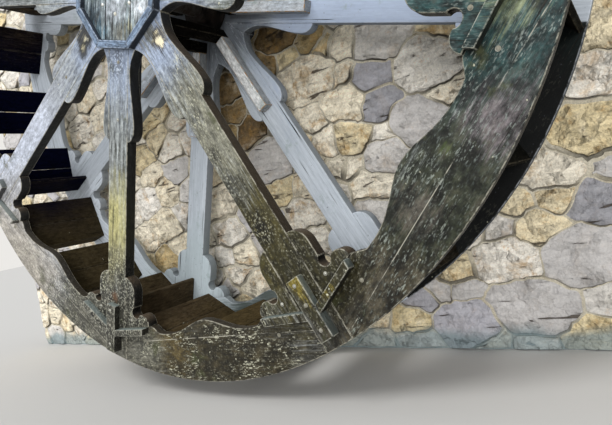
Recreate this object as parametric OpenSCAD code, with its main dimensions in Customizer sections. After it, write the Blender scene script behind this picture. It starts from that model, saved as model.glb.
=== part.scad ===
// Timber water wheel hung on a stretch of rubble stone mill wall.
// Millimetres. X runs along the wall, -Y is the side one looks at, +Z is up.
// The origin is the middle of the wall's foot.

/* [Mill wall] */
// Length of the stretch of wall
wall_l = 6000; // [4600:50:9000]
// Height of the wall above the ground
wall_h = 4600; // [3000:50:7000]
// Thickness of the wall
wall_t = 500; // [350:10:900]

/* [Wheel] */
// Radius of the rims
wheel_r = 2000; // [1700:10:2300]
// Height of the shaft's centre above the ground
axle_h = 2100; // [1900:10:2600]
// Width of the wheel from the front of one rim to the back of the other
wheel_w = 616; // [450:2:900]
// Gap between the back rim and the wall
wall_gap = 144; // [130:2:300]
// Angle of the first pair of spokes at rest
rest_turn = -20; // [-44:1:44]

/* [Rims] */
// Thickness of the rims
rim_t = 45; // [30:1:70]
// Width of a rim between its hump and its toes
rim_w = 224; // [190:2:260]
// How far the hump at the middle of each felloe stands in from that
hump_h = 90; // [0:2:120]
// Half the spread of the hump, in degrees
hump_spread = 6; // [4:0.5:7]
// Angle from a felloe's middle at which its toes begin
toe_start = 11; // [9:0.5:12]
// Slope of the joints between a felloe and the spoke's feet, in degrees
joint_slope = 20; // [14:1:25]
// Depth from the rim's edge to the point where two joints meet
joint_depth = 178; // [150:2:200]

/* [Spokes] */
// Width of a spoke
spoke_w = 150; // [100:2:180]
// Thickness of a spoke, its gussets and its feet
spoke_t = 60; // [48:1:90]
// Width and depth of the batten on a spoke's inner face
batten_s = 60; // [30:2:90]
// Distance from the shaft's centre to the outer end of that batten
batten_end = 740; // [500:10:1100]

/* [Gussets] */
// Distance from the shaft's centre to the end of a hub gusset
gusset_end = 758; // [640:2:1000]
// Reach of a hub gusset beside its spoke at its belly
gusset_belly = 50; // [30:1:70]
// Reach of a hub gusset beside its spoke at its neck
gusset_neck = 12; // [5:1:30]
// Distance from the shaft's centre to that neck
gusset_neck_r = 410; // [380:2:480]
// Length of the rounded end of a hub gusset
gusset_round = 68; // [30:1:100]

/* [Spoke feet] */
// Depth from the rim's edge to the middle of the large lobe
lobe_depth = 424; // [400:2:480]
// Distance from the spoke's middle line to the middle of the large lobe
lobe_side = 68; // [50:1:90]
// Radius of the large lobe
lobe_r = 83; // [65:1:100]
// Depth from the rim's edge to the middle of the ear
ear_depth = 276; // [260:2:300]
// Distance from the spoke's middle line to the middle of the ear
ear_side = 226; // [206:2:240]
// Radius of the ear
ear_r = 52; // [35:1:58]
// Depth from the rim's edge to the middle of the notch between lobe and ear
notch_depth = 324; // [312:2:340]
// Distance from the spoke's middle line to the middle of the notch
notch_side = 168; // [155:1:180]
// Radius of the notch
notch_r = 30; // [15:1:36]

/* [Outer battens] */
// Width of the sloping battens over the felloe joints
cover_w = 40; // [20:1:60]
// Distance from the spoke's middle line to the outer end of a sloping batten
cover_end = 262; // [150:2:270]
// How far the sloping battens stand out from the rim
cover_t = 50; // [20:1:60]
// Width of the straight batten on a spoke's foot
foot_w = 70; // [40:1:100]
// Thickness of the straight batten where it lies on the spoke
foot_t = 38; // [20:1:60]
// Depth from the rim's edge to its outer end
foot_out = 48; // [30:2:100]
// Depth from the rim's edge to its inner end
foot_in = 330; // [280:2:380]

/* [Buckets] */
// Number of buckets in the bay between two spokes
bay_buckets = 3; // [2:1:3]
// Thickness of the bucket boards
board_t = 25; // [18:1:40]
// Depth from the rim's edge to the inner edge of a back board
back_depth = 260; // [240:2:290]
// Angle from a spoke to that inner edge
back_start = 4.8; // [4:0.2:6]
// Lean of the back boards against a tangent, in degrees
back_lean = 17.4; // [14:0.2:20]
// Width of one of the two back planks
plank_w = 157; // [120:1:160]
// Joint between the two back planks
plank_gap = 3; // [1:0.5:8]
// Width of the floor board, measured from the back of the back boards
floor_w = 123; // [80:1:128]
// Thickness of the plank across the wheel at each spoke
cross_t = 22; // [15:1:30]
// Depth from the rim's edge to the inner edge of that plank
cross_in = 330; // [250:2:380]
// Depth from the rim's edge to its outer edge
cross_out = 160; // [150:2:200]

/* [Hub] */
// Half the width across the flats of the hub casing
hub_a = 300; // [280:2:330]
// Width of the casing's frame boards
hub_frame_w = 38; // [25:1:60]
// Height of the frame above the spokes
hub_frame_t = 40; // [25:1:60]
// Thickness of the boards inside the frame
hub_board_t = 20; // [10:1:24]
// Width of one of those boards
hub_board_w = 190; // [100:5:240]
// Distance from the hub's middle line to the nearest joint between boards
hub_board_shift = 114; // [0:2:150]
// Joint between those boards
hub_board_gap = 3; // [1:0.5:8]
// Distance from the shaft's centre to the middle of a hub spacer
spacer_r = 215; // [205:1:240]
// Width and depth of a hub spacer
spacer_s = 60; // [30:2:70]
// Diameter of the shaft
shaft_d = 110; // [80:2:130]
// Radius of the steel flanges
flange_r = 160; // [120:2:165]
// Thickness of the steel flanges
flange_t = 12; // [8:1:25]
// Radius of the boss on a flange
boss_r = 85; // [75:1:100]
// Length of the boss on a flange
boss_l = 70; // [30:2:120]

/* [Bearings] */
// Side of the bearing's square plate
plate_s = 300; // [240:5:400]
// Thickness of the bearing's plate
plate_t = 20; // [12:1:24]
// Radius of the bearing's sleeve
sleeve_r = 80; // [72:1:95]
// Length of the sleeve inside the wall
sleeve_l = 140; // [80:5:160]
// How far the bearing's nose stands out from its plate
nose_l = 24; // [10:1:28]
// Radius of the nose
nose_r = 95; // [82:1:120]
// Thickness of the collars on the shaft
collar_t = 24; // [15:1:30]
// Radius of the collars
collar_r = 85; // [70:1:110]
// Diameter of the shaft's stepped end behind the back collar
tail_d = 96; // [60:2:106]
// Length of that stepped end
tail_l = 160; // [60:5:300]

/* [Clearances] */
// Gap between timbers that are laid side by side
seam = 0.4; // [0.2:0.1:0.8]
// Gap all round the shaft where it fits a bore
shaft_fit = 0.05; // [0.02:0.01:0.1]
// Gap all round the shaft where it passes through timber
shaft_free = 5; // [2:0.5:15]
// Gap round a sleeve in the wall's bore
sleeve_free = 0.5; // [0.3:0.1:6]
// Gap between a collar and the bearing it faces
collar_gap = 6; // [5:0.5:8]

/* [Hidden] */
$fn = 96;
SPOKES = 8;
BAY = 360 / SPOKES;
HALF_BAY = BAY / 2;
// Half the breadth of an octagon for each unit along a spoke
SPREAD = tan(HALF_BAY);
WALL_FACE = -wall_t / 2;
NEAR = WALL_FACE - wall_gap - wheel_w;
// Depths behind the front face of the front rim
SPOKE_FRONT = rim_t - spoke_t;
INNER_W = wheel_w - 2 * rim_t;
WALL_DEPTH = wheel_w + wall_gap;
BEARING_OUT = plate_t + nose_l;
// Places along a spoke
LOBE_U = wheel_r - lobe_depth;
EAR_U = wheel_r - ear_depth;
NOTCH_U = wheel_r - notch_depth;
JOINT_U = wheel_r - joint_depth;
RIM_IN = wheel_r - rim_w;
// Where the joint under a foot ends beside the ear
JOINT_V = ear_side + ear_r;
TOE_R = norm([joint_u(JOINT_V), JOINT_V]);
TOE_A = HALF_BAY - atan2(JOINT_V, joint_u(JOINT_V));
// A circle that lies outside everything on the wheel
FAR = wheel_r * 1.2;
BORE_R = shaft_d / 2 + shaft_fit;
EDGE_STEPS = 36;
// How far a bore is cut past the faces it opens in
CUT_PAST = 1;
// The boards of the hub casing run along this spoke
BOARD_SPOKE = 7;

function joint_u(v) = JOINT_U - v * tan(joint_slope);
function polar(r, a) = [r * cos(a), r * sin(a)];
function smooth(t) =
    let(c = max(0, min(1, t)))
        c * c * (3 - 2 * c);
function felloe_r(a) =
    RIM_IN - hump_h * exp(-pow(a / hump_spread, 2))
        - (RIM_IN - TOE_R) * smooth((abs(a) - toe_start) / (TOE_A - toe_start));
function gusset_v(u) =
    let(belly_u = gusset_end - gusset_round,
        side_v = spoke_w / 2,
        corner_v = hub_a * SPREAD,
        neck_v = side_v + gusset_neck)
    u < gusset_neck_r
        ? neck_v + (corner_v - neck_v) * pow((gusset_neck_r - u) / (gusset_neck_r - hub_a), 2)
        : u < belly_u
            ? neck_v + (gusset_belly - gusset_neck) * smooth((u - gusset_neck_r) / (belly_u - gusset_neck_r))
            : side_v + gusset_belly * sqrt(max(0, 1 - pow((u - belly_u) / gusset_round, 2)));

// A flat piece in the wheel's plane, from a depth behind the front rim's face
module layer(depth, thick) {
    translate([0, NEAR + depth + thick, axle_h])
        rotate([90, 0, 0])
            linear_extrude(height = thick)
                children();
}

// The same, with the depth counted from the back face on the far side
module side_layer(far, depth, thick) {
    layer(far ? wheel_w - depth - thick : depth, thick)
        children();
}

module at_spoke(k) {
    rotate(rest_turn + BAY * (k - 1))
        children();
}

module each_spoke() {
    for (k = [1 : SPOKES])
        at_spoke(k)
            children();
}

// Its children on both sides of a spoke
module both_sides() {
    children();
    mirror([0, 1])
        children();
}

// A round piece along the shaft's line, from a depth behind the front rim's face
module round_piece(depth, long, r) {
    translate([0, NEAR + depth, axle_h])
        rotate([-90, 0, 0])
            cylinder(h = long, r = r);
}

// A slice of the wheel's disc, half a bay to each side of a spoke
module wedge(gap) {
    start = gap / sin(HALF_BAY);
    polygon([
        [start, 0],
        [start + FAR, -FAR * SPREAD],
        [start + FAR, FAR * SPREAD]
    ]);
}

// What lies inside the two sloping joints under a spoke's feet
module inside_joints(end_v) {
    polygon([
        [0, -end_v],
        [joint_u(end_v), -end_v],
        [JOINT_U, 0],
        [joint_u(end_v), end_v],
        [0, end_v]
    ]);
}

module spoke_outline() {
    intersection() {
        wedge(seam / 2);
        translate([0, -spoke_w / 2])
            square([wheel_r, spoke_w]);
        difference() {
            circle(r = wheel_r, $fn = 360);
            circle(r = shaft_d / 2 + shaft_free);
        }
    }
}

module spoke(far, k) {
    side_layer(far, SPOKE_FRONT, spoke_t)
        at_spoke(k)
            intersection() {
                spoke_outline();
                inside_joints(spoke_w);
            }
    side_layer(far, 0, rim_t)
        at_spoke(k)
            difference() {
                spoke_outline();
                inside_joints(spoke_w);
            }
}

// Outline of one hub gusset, beside its spoke
module gusset_outline() {
    side_v = spoke_w / 2 + seam;
    intersection() {
        wedge(seam / 2);
        polygon(concat(
            [[gusset_end, side_v], [0, side_v], [hub_a, hub_a]],
            [for (i = [0 : EDGE_STEPS])
                let(u = hub_a + (gusset_end - gusset_round - hub_a) * i / EDGE_STEPS)
                    [u, gusset_v(u)]],
            [for (i = [1 : EDGE_STEPS / 3])
                let(u = gusset_end - gusset_round * (1 - sin(90 * i / (EDGE_STEPS / 3))))
                    [u, max(side_v, gusset_v(u))]]
        ));
    }
}

module gussets(far) {
    side_layer(far, SPOKE_FRONT, spoke_t)
        each_spoke()
            both_sides()
                gusset_outline();
}

// Outline of one foot: a large lobe, a notch and an ear, cut off by the sloping joint
module foot_outline() {
    side_v = spoke_w / 2 + seam;
    difference() {
        intersection() {
            union() {
                translate([LOBE_U, lobe_side])
                    circle(r = lobe_r);
                translate([EAR_U, ear_side])
                    circle(r = ear_r);
                polygon([
                    [LOBE_U, 0],
                    [wheel_r, 0],
                    [wheel_r, ear_side],
                    [EAR_U, ear_side],
                    [NOTCH_U, lobe_side + lobe_r],
                    [LOBE_U, lobe_side + lobe_r]
                ]);
            }
            translate([-seam, 0])
                inside_joints(JOINT_V);
            translate([0, side_v])
                square(wheel_r);
        }
        translate([NOTCH_U, notch_side])
            circle(r = notch_r);
    }
}

module feet(far) {
    side_layer(far, SPOKE_FRONT, spoke_t)
        each_spoke()
            both_sides()
                foot_outline();
}

// Outline of one felloe, about the middle of its bay
module felloe_outline() {
    difference() {
        intersection() {
            circle(r = wheel_r, $fn = 360);
            polygon(concat(
                [for (i = [0 : EDGE_STEPS * 2])
                    let(a = -HALF_BAY + BAY * i / (EDGE_STEPS * 2))
                        polar(felloe_r(a), a)],
                [polar(FAR, HALF_BAY), polar(FAR, -HALF_BAY)]
            ));
        }
        for (side = [-1, 1])
            rotate(side * HALF_BAY) {
                inside_joints(JOINT_V + seam);
                translate([0, -spoke_w / 2 - seam])
                    square([FAR, spoke_w + 2 * seam]);
            }
    }
}

module rim(far) {
    side_layer(far, 0, rim_t)
        each_spoke()
            rotate(HALF_BAY)
                felloe_outline();
}

module spoke_battens(far) {
    start = spacer_r + spacer_s / 2 + seam;
    side_layer(far, rim_t, batten_s)
        each_spoke()
            translate([start, -batten_s / 2])
                square([batten_end - start, batten_s]);
}

// The sloping battens lie on the rim, along the outer side of the joints
module joint_battens(far) {
    start_v = foot_w / 2 + seam;
    side_layer(far, -cover_t, cover_t)
        each_spoke()
            both_sides()
                polygon([
                    [joint_u(start_v) + seam, start_v],
                    [joint_u(start_v) + seam + cover_w, start_v],
                    [joint_u(cover_end) + seam + cover_w, cover_end],
                    [joint_u(cover_end) + seam, cover_end]
                ]);
}

module foot_batten_outline() {
    translate([wheel_r - foot_in, -foot_w / 2])
        square([foot_in - foot_out, foot_w]);
}

// The straight battens step down from the spoke to the rim
module foot_battens(far) {
    side_layer(far, SPOKE_FRONT - foot_t, foot_t)
        each_spoke()
            intersection() {
                foot_batten_outline();
                inside_joints(spoke_w);
            }
    side_layer(far, SPOKE_FRONT - foot_t, foot_t - SPOKE_FRONT)
        each_spoke()
            difference() {
                foot_batten_outline();
                inside_joints(spoke_w);
            }
}

// One plank along the wheel's width at each bucket, from its place in the bucket's section
module bucket_planks(start, width, drop, thick) {
    layer(rim_t, INNER_W)
        each_spoke()
            for (j = [0 : bay_buckets - 1])
                rotate(back_start + BAY / bay_buckets * j)
                    translate([wheel_r - back_depth, 0])
                        rotate(90 - back_lean)
                            translate([start, -drop - thick])
                                square([width, thick]);
}

module bucket_back_boards() {
    color("saddlebrown")
        bucket_planks(0, plank_w, 0, board_t);
}

module bucket_elbow_boards() {
    color("peru")
        bucket_planks(plank_w + plank_gap, plank_w, 0, board_t);
}

module bucket_floor_boards() {
    elbow = 2 * plank_w + plank_gap;
    color("sienna")
        bucket_planks(elbow - board_t, board_t, board_t + seam, floor_w);
}

module cross_planks() {
    color("tan")
        layer(rim_t, INNER_W)
            each_spoke()
                translate([wheel_r - cross_in, -cross_t / 2])
                    square([cross_in - cross_out, cross_t]);
}

// The hub casing is a mitred octagon of boards round flush planks
module octagon(apothem) {
    rotate(rest_turn + HALF_BAY)
        circle(r = apothem / cos(HALF_BAY), $fn = SPOKES);
}

module hub_frame(far) {
    side_layer(far, SPOKE_FRONT - hub_frame_t, hub_frame_t)
        each_spoke()
            intersection() {
                wedge(seam / 2);
                translate([hub_a - hub_frame_w, -hub_a])
                    square([hub_frame_w, 2 * hub_a]);
            }
}

module hub_boards(far, bore) {
    count = ceil(hub_a / hub_board_w) + 1;
    side_layer(far, SPOKE_FRONT - hub_board_t, hub_board_t)
        difference() {
            intersection() {
                octagon(hub_a - hub_frame_w - seam);
                at_spoke(BOARD_SPOKE)
                    for (i = [-count : count])
                        translate([-hub_a, hub_board_shift + i * hub_board_w])
                            square([2 * hub_a, hub_board_w - hub_board_gap]);
            }
            if (bore)
                circle(r = shaft_d / 2 + shaft_free);
        }
}

module hub_spacers() {
    color("rosybrown")
        layer(rim_t, INNER_W)
            each_spoke()
                translate([spacer_r - spacer_s / 2, -spacer_s / 2])
                    square(spacer_s);
}

module flange(far) {
    boss_depth = rim_t + flange_t;
    color("dimgray")
        difference() {
            union() {
                round_piece(far ? wheel_w - boss_depth : rim_t, flange_t, flange_r);
                round_piece(far ? wheel_w - boss_depth - boss_l : rim_t, flange_t + boss_l, boss_r);
            }
            round_piece(0, wheel_w, BORE_R);
        }
}

module shaft() {
    collar_end = WALL_DEPTH + wall_t + BEARING_OUT + collar_gap + collar_t;
    color("gray") {
        round_piece(SPOKE_FRONT, collar_end - SPOKE_FRONT, shaft_d / 2);
        round_piece(collar_end, tail_l, min(tail_d, shaft_d) / 2);
    }
}

module shaft_collars() {
    front = WALL_DEPTH - BEARING_OUT - collar_gap - collar_t;
    back = WALL_DEPTH + wall_t + BEARING_OUT + collar_gap;
    color("dimgray")
        for (depth = [front, back])
            difference() {
                round_piece(depth, collar_t, collar_r);
                round_piece(depth - CUT_PAST, collar_t + 2 * CUT_PAST, BORE_R);
            }
}

// A plate with a nose on one side and a sleeve that goes into the wall on the other
module bearing() {
    difference() {
        union() {
            translate([-plate_s / 2, -plate_t, -plate_s / 2])
                cube([plate_s, plate_t, plate_s]);
            rotate([90, 0, 0])
                cylinder(h = BEARING_OUT, r = nose_r);
            rotate([-90, 0, 0])
                cylinder(h = sleeve_l, r = sleeve_r);
        }
        translate([0, -BEARING_OUT - CUT_PAST, 0])
            rotate([-90, 0, 0])
                cylinder(h = BEARING_OUT + sleeve_l + 2 * CUT_PAST, r = BORE_R);
    }
}

module wall_bearing() {
    color("darkslategray")
        translate([0, WALL_FACE, axle_h])
            bearing();
}

module back_bearing() {
    color("darkslategray")
        translate([0, -WALL_FACE, axle_h])
            mirror([0, 1, 0])
                bearing();
}

module wall() {
    color("wheat")
        difference() {
            translate([-wall_l / 2, WALL_FACE, 0])
                cube([wall_l, wall_t, wall_h]);
            round_piece(WALL_DEPTH - CUT_PAST, wall_t + 2 * CUT_PAST, sleeve_r + sleeve_free);
        }
}

module near_wood() {
    color("olivedrab")
        children();
}

module far_wood() {
    color("lightslategray")
        children();
}

wall();
wall_bearing();
back_bearing();
shaft();
shaft_collars();
flange(false);  // near_flange
flange(true);  // far_flange
hub_spacers();
near_wood() hub_frame(false);  // near_hub_frame
near_wood() hub_boards(false, false);  // near_hub_boards
far_wood() hub_frame(true);  // far_hub_frame
far_wood() hub_boards(true, true);  // far_hub_boards
near_wood() spoke(false, 1);  // near_spoke_1
near_wood() spoke(false, 2);  // near_spoke_2
near_wood() spoke(false, 3);  // near_spoke_3
near_wood() spoke(false, 4);  // near_spoke_4
near_wood() spoke(false, 5);  // near_spoke_5
near_wood() spoke(false, 6);  // near_spoke_6
near_wood() spoke(false, 7);  // near_spoke_7
near_wood() spoke(false, 8);  // near_spoke_8
far_wood() spoke(true, 1);  // far_spoke_1
far_wood() spoke(true, 2);  // far_spoke_2
far_wood() spoke(true, 3);  // far_spoke_3
far_wood() spoke(true, 4);  // far_spoke_4
far_wood() spoke(true, 5);  // far_spoke_5
far_wood() spoke(true, 6);  // far_spoke_6
far_wood() spoke(true, 7);  // far_spoke_7
far_wood() spoke(true, 8);  // far_spoke_8
near_wood() gussets(false);  // near_gussets
far_wood() gussets(true);  // far_gussets
near_wood() spoke_battens(false);  // near_spoke_battens
far_wood() spoke_battens(true);  // far_spoke_battens
near_wood() feet(false);  // near_feet
far_wood() feet(true);  // far_feet
near_wood() rim(false);  // near_rim
far_wood() rim(true);  // far_rim
near_wood() joint_battens(false);  // near_joint_battens
far_wood() joint_battens(true);  // far_joint_battens
near_wood() foot_battens(false);  // near_foot_battens
far_wood() foot_battens(true);  // far_foot_battens
bucket_back_boards();
bucket_elbow_boards();
bucket_floor_boards();
cross_planks();
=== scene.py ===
import math
import random

import bmesh
import bpy
from bpy.props import FloatProperty, FloatVectorProperty, PointerProperty
from mathutils import Euler, Matrix, Vector, noise


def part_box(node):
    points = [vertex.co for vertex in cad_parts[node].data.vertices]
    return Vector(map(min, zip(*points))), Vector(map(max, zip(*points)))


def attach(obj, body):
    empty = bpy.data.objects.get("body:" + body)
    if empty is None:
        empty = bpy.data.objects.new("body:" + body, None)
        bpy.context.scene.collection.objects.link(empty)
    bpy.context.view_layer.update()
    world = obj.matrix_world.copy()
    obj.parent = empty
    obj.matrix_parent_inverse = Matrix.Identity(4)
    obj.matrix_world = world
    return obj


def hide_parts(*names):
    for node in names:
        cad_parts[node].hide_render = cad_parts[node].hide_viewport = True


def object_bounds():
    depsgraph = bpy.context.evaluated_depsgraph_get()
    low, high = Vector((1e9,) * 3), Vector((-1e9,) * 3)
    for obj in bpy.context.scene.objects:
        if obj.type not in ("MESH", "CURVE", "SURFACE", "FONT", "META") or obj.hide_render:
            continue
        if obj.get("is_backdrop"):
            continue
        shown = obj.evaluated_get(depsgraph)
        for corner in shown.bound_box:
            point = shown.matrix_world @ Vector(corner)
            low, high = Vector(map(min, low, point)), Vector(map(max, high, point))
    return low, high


bl_info = {
    "name": "Mill Wheel",
    "version": (1, 0, 0),
    "blender": (4, 5, 0),
    "location": "View3D > Sidebar > Mill Wheel",
    "description": "Dresses a timber water wheel and its rubble stone wall",
    "category": "Object",
}

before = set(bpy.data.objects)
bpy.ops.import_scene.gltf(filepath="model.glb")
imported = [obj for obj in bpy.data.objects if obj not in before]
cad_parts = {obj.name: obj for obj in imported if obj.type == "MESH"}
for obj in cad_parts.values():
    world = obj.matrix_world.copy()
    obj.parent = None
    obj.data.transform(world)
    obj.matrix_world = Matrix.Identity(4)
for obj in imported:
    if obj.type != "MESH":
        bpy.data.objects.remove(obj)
CAD_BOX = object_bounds()

# Slots and places read from the frame, in metres
WALL_LOW, WALL_HIGH = (Vector(corner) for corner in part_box("wall"))
AXLE_Z = sum(corner[2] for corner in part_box("near_rim")) / 2
HUB_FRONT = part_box("near_hub_boards")[0][1]
OUTER_FACES = {
    side: {timber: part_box(f"{side}_{node}")[end][1] for timber, node in (
        ("spoke", "spoke_1"), ("rim", "rim"), ("batten", "foot_battens"))}
    for side, end in (("near", 0), ("far", 1))}
# Turn of the first spoke, and the angle between two spokes
TURN = math.radians(-20)
SPOKES = 8
BAY = math.tau / SPOKES
# The hub's boards lie along the seventh spoke
BOARD_TURN = TURN + 6 * BAY
# How far the grain's pattern moves on from one bay to the next
PATTERN_STEP = 5.3
# Radius of the seams in the felloes, and how much farther out every second one lies
SEAM = 1.774
SEAM_STEP = 0.074
# Corners of a board that lie nearer each other than this are one, in metres
MERGE_DISTANCE = 0.0005
# The least turns, in degrees, of an edge that is worn round and of edges that are shaded sharp
WORN_TURN = 35
SHARP_TURNS = {"timber": 38, "stone": 28, "iron": 40}
# Bolts at every spoke: distances along and across it, and the timber that they go through
BOLTS = [
    (0.363, 0.0, "spoke"), (0.650, 0.0, "spoke"),
    (1.700, 0.0, "batten"), (1.790, 0.0, "batten"), (1.905, 0.0, "batten"),
    (1.727, -0.137, "spoke"), (1.827, -0.254, "rim"),
    (1.727, 0.137, "spoke"), (1.827, 0.254, "rim"),
]
# Nails in the hub's boards, along and across these
HUB_NAILS = [
    (-0.115, -0.1), (-0.115, 0.005), (-0.115, 0.11), (0.093, -0.1), (0.137, 0.0), (0.088, 0.106),
]
# The camera, as it was fitted to the photograph: pixels, metres and degrees
IMAGE_WIDTH = 612
FOCAL_LENGTH = 488.1
CAMERA_PLACE = (1.923, -2.638, 0.901)
CAMERA_YAW, CAMERA_PITCH, CAMERA_ROLL = 34.37, 1.63, -11.30


def srgb(code):
    """The linear colour of a six-digit sRGB hex value."""
    channels = [int(code[i:i + 2], 16) / 255 for i in (1, 3, 5)]
    return [c / 12.92 if c <= 0.04045 else ((c + 0.055) / 1.055) ** 2.4 for c in channels]


def add(tree, kind, links=None, out=None, stops=None, **settings):
    """Adds one node with its settings; links holds a value or a socket for each input.

    Shader nodes go without their prefix. It returns the output named in out, or else the
    first one in use.
    """
    whole = kind.startswith(("Geometry", "Node"))
    node = tree.nodes.new(kind if whole else "ShaderNode" + kind)
    for name, value in settings.items():
        setattr(node, name, value)
    for name, value in (links or {}).items():
        socket = node.inputs[name]
        if isinstance(value, bpy.types.NodeSocket):
            tree.links.new(value, socket)
        elif isinstance(value, str):
            socket.default_value = (*srgb(value), 1)
        else:
            socket.default_value = value
    if stops:
        elements = node.color_ramp.elements
        while len(elements) < len(stops):
            elements.new(0.5)
        for element, (place, value) in zip(elements, stops):
            element.position = place
            element.color = (*(srgb(value) if isinstance(value, str) else (value,) * 3), 1)
    return node.outputs[out] if out else next((o for o in node.outputs if o.enabled), None)


# Sizes and colours that a user may change


class WallSettings(bpy.types.PropertyGroup):
    course: FloatProperty(
        name="Stone spacing", description="Usual distance between the middles of two stones",
        default=0.15, min=0.08, max=0.5, unit="LENGTH")
    stretch: FloatProperty(
        name="Stretch", description="How much longer than high the stones are",
        default=1.35, min=1, max=2.5)
    joint: FloatProperty(
        name="Joint", description="Usual inset of a stone from the middle of its joints",
        default=0.013, min=0.004, max=0.05, unit="LENGTH")
    relief: FloatProperty(
        name="Relief", description="How far the stones stand out of the mortar",
        default=0.024, min=0, max=0.028, unit="LENGTH")
    mortar_colour: FloatVectorProperty(
        name="Mortar", description="Colour of the lime mortar",
        default=srgb("#dcd4c0"), subtype="COLOR", min=0, max=1)


class WheelSettings(bpy.types.PropertyGroup):
    wear: FloatProperty(
        name="Worn edge", description="Width of the worn edges of the timber",
        default=0.004, min=0.001, max=0.012, unit="LENGTH")
    bolt: FloatProperty(
        name="Bolt head", description="Radius of the bolt heads",
        default=0.007, min=0.004, max=0.03, unit="LENGTH")
    nail: FloatProperty(
        name="Nail head", description="Radius of the nail heads on the hub's boards",
        default=0.009, min=0.002, max=0.02, unit="LENGTH")


class StageSettings(bpy.types.PropertyGroup):
    sun: FloatProperty(
        name="Lamp", description="Strength of the main lamp", default=1.4, min=0, max=10)
    side: FloatProperty(
        name="Side lamp", description="Strength of the lamp on the right",
        default=1.5, min=0, max=10)
    sky: FloatProperty(
        name="Fill", description="Strength of the even light from all round",
        default=0.66, min=0, max=3)
    floor: FloatVectorProperty(
        name="Floor", description="Colour of the studio floor",
        default=srgb("#cfcdc9"), subtype="COLOR", min=0, max=1)
    background: FloatVectorProperty(
        name="Background", description="Colour of the backdrop",
        default=srgb("#eceae6"), subtype="COLOR", min=0, max=1)


# Materials


def new_material(name):
    """An empty material, its tree and its surface shader."""
    material = bpy.data.materials.new(name)
    material.use_nodes = True
    tree = material.node_tree
    return material, tree, tree.nodes["Principled BSDF"]


def set_relief(tree, shader, height, distance=1.0):
    """Gives a surface its relief, from heights in metres unless distance says otherwise."""
    bump = add(tree, "Bump", {"Height": height, "Strength": 1.0, "Distance": distance})
    tree.links.new(bump, shader.inputs["Normal"])


def tinted(tree, colour, pattern, low, high, share, tint, mask=None):
    """Mixes a tint in where a pattern runs from low to high, up to a share, inside a mask."""
    amount = add(tree, "MapRange", {
        "Value": pattern, "From Min": low, "From Max": high, "To Max": share})
    if mask:
        amount = add(tree, "Math", {0: amount, 1: mask}, operation="MULTIPLY")
    return add(tree, "Mix", {0: amount, 6: colour, 7: tint}, data_type="RGBA")


def brightened(tree, colour, pattern, low, high, least, most, mask):
    """Scales a colour by least to most where a pattern runs from low to high, inside a mask."""
    gain = add(tree, "MapRange", {
        "Value": pattern, "From Min": low, "From Max": high, "To Min": least, "To Max": most})
    gain = add(tree, "Mix", {0: mask, 2: 1.0, 3: gain})
    return add(tree, "VectorMath", {0: colour, "Scale": gain}, operation="SCALE")


def wheel_coordinates():
    """Node group: a place on the wheel as distances along and across its nearest spoke.

    With a shift of half a bay it counts from the middle of a felloe instead. Each bay
    reads another stretch of the pattern, so that no two timbers look alike.
    """
    tree = bpy.data.node_groups.new("wheel_coordinates", "ShaderNodeTree")
    tree.interface.new_socket("Shift", in_out="INPUT", socket_type="NodeSocketFloat")
    tree.interface.new_socket("Grain", in_out="OUTPUT", socket_type="NodeSocketVector")
    for name in ("Along", "Across", "Bay"):
        tree.interface.new_socket(name, in_out="OUTPUT", socket_type="NodeSocketFloat")
    shift = add(tree, "NodeGroupInput", out="Shift")
    place = add(tree, "TexCoord", out="Object")
    x, y, z = add(tree, "SeparateXYZ", {0: place}).node.outputs
    rise = add(tree, "Math", {0: z, 1: AXLE_Z}, operation="SUBTRACT")
    flat = add(tree, "CombineXYZ", {"X": x, "Y": rise})
    radius = add(tree, "VectorMath", {0: flat}, operation="LENGTH")
    angle = add(tree, "Math", {0: rise, 1: x}, operation="ARCTAN2")
    start = add(tree, "Math", {0: shift, 1: TURN}, operation="ADD")
    turned = add(tree, "Math", {0: angle, 1: start}, operation="SUBTRACT")
    bays = add(tree, "Math", {0: turned, 1: BAY}, operation="DIVIDE")
    number = add(tree, "Math", {0: bays}, operation="ROUND")
    inside = add(tree, "Math", {0: bays, 1: number}, operation="SUBTRACT")
    lean = add(tree, "Math", {0: inside, 1: BAY}, operation="MULTIPLY")
    cosine = add(tree, "Math", {0: lean}, operation="COSINE")
    sine = add(tree, "Math", {0: lean}, operation="SINE")
    along = add(tree, "Math", {0: radius, 1: cosine}, operation="MULTIPLY")
    across = add(tree, "Math", {0: radius, 1: sine}, operation="MULTIPLY")
    step = add(tree, "Math", {0: number, 1: SPOKES}, operation="FLOORED_MODULO")
    away = add(tree, "Math", {0: step, 1: PATTERN_STEP, 2: along}, operation="MULTIPLY_ADD")
    grain = add(tree, "CombineXYZ", {"X": away, "Y": across, "Z": y})
    add(tree, "NodeGroupOutput", {"Grain": grain, "Along": along, "Across": across, "Bay": step})


def grain_along_spokes(tree):
    """Grain that runs from the hub to the rim."""
    return add(tree, "Group", out="Grain", node_tree=bpy.data.node_groups["wheel_coordinates"])


def quarter_turned(tree, place):
    """A place turned so that the grain runs across what it ran along."""
    return add(tree, "VectorRotate", {"Vector": place, "Angle": math.pi / 2},
               rotation_type="Z_AXIS")


def grain_along_felloes(tree):
    """Grain that runs along a felloe, at right angles to its middle line."""
    grain = grain_along_spokes(tree)
    grain.node.inputs["Shift"].default_value = BAY / 2
    return quarter_turned(tree, grain)


def grain_round_the_hub(tree):
    """Grain that runs along the casing's sides, at right angles to the spokes."""
    return quarter_turned(tree, grain_along_spokes(tree))


def grain_across_wheel(tree):
    """Grain that runs along the shaft's line."""
    return quarter_turned(tree, add(tree, "TexCoord", out="Object"))


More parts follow.
